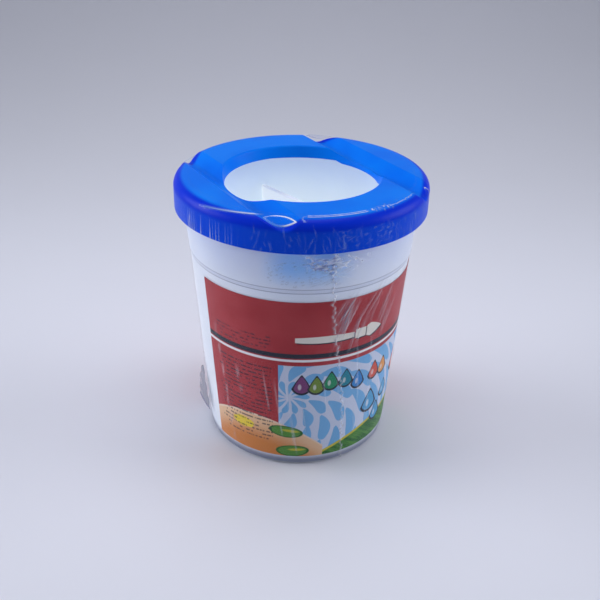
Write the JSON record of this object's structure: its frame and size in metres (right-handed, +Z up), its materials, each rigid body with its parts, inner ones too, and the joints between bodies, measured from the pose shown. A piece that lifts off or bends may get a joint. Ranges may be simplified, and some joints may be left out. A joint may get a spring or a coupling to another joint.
{
  "type": "brush-washing pot",
  "caption": "Tapered translucent pot with an upright partition and a press-on lid that has a round mouth and two V grooves for resting brushes.",
  "frame": {"origin": "centre of the foot, at its underside", "axes": "+Z up along the pot's axis, the two brush grooves run along Y"},
  "size_m": [0.0844, 0.0844, 0.0963],
  "materials": {
    "cup": "milky translucent polypropylene",
    "divider": "satin white moulding",
    "lid": "satin gloss blue moulding",
    "label": "printed, smooth",
    "film": "clear crinkled shrink film"
  },
  "bodies": {
    "pot": {"cup": "cup", "label": "label", "sleeve_film": "film"},
    "insert": {"divider": "divider"},
    "cover": {"lid": "lid", "lid_film": "film"}
  },
  "joints": [
    {"name": "lid_lift", "type": "slide", "parent": "pot", "child": "cover", "axis": [0, 0, 1], "range_m": [0, 0.05]},
    {"name": "divider_lift", "type": "slide", "parent": "pot", "child": "insert", "axis": [0, 0, 1], "range_m": [0, 0.006]}
  ]
}
